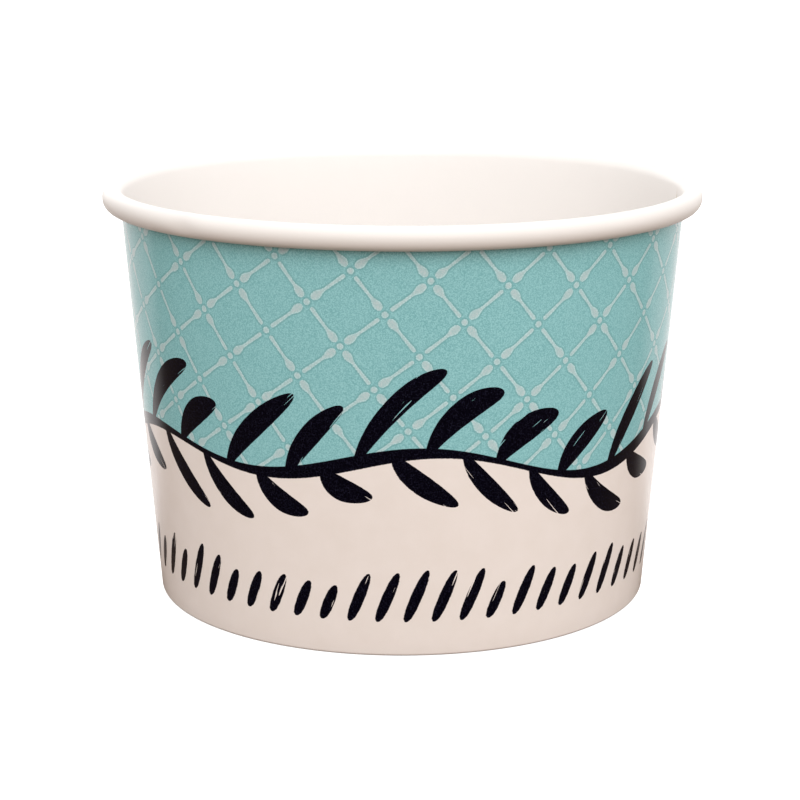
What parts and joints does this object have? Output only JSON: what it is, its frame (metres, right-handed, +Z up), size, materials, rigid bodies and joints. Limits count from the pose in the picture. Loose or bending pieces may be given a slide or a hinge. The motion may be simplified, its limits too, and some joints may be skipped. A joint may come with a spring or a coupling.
{
  "type": "paper ice cream cup",
  "caption": "Empty round paper ice cream cup with a tapered printed board wall, a rolled rim, a folded foot and a recessed bottom panel.",
  "frame": {"origin": "middle of the foot, on the surface that the cup stands on", "axes": "+Z up through the open mouth, -Y towards the printed front, +X to the right of it, with the side seam just behind +X"},
  "size_m": [0.0972, 0.0972, 0.0672],
  "materials": {
    "printed_board": "satin",
    "bottom_board": "satin"
  },
  "bodies": {
    "root": {"cup_wall": "printed_board", "cup_bottom": "bottom_board"}
  },
  "joints": []
}
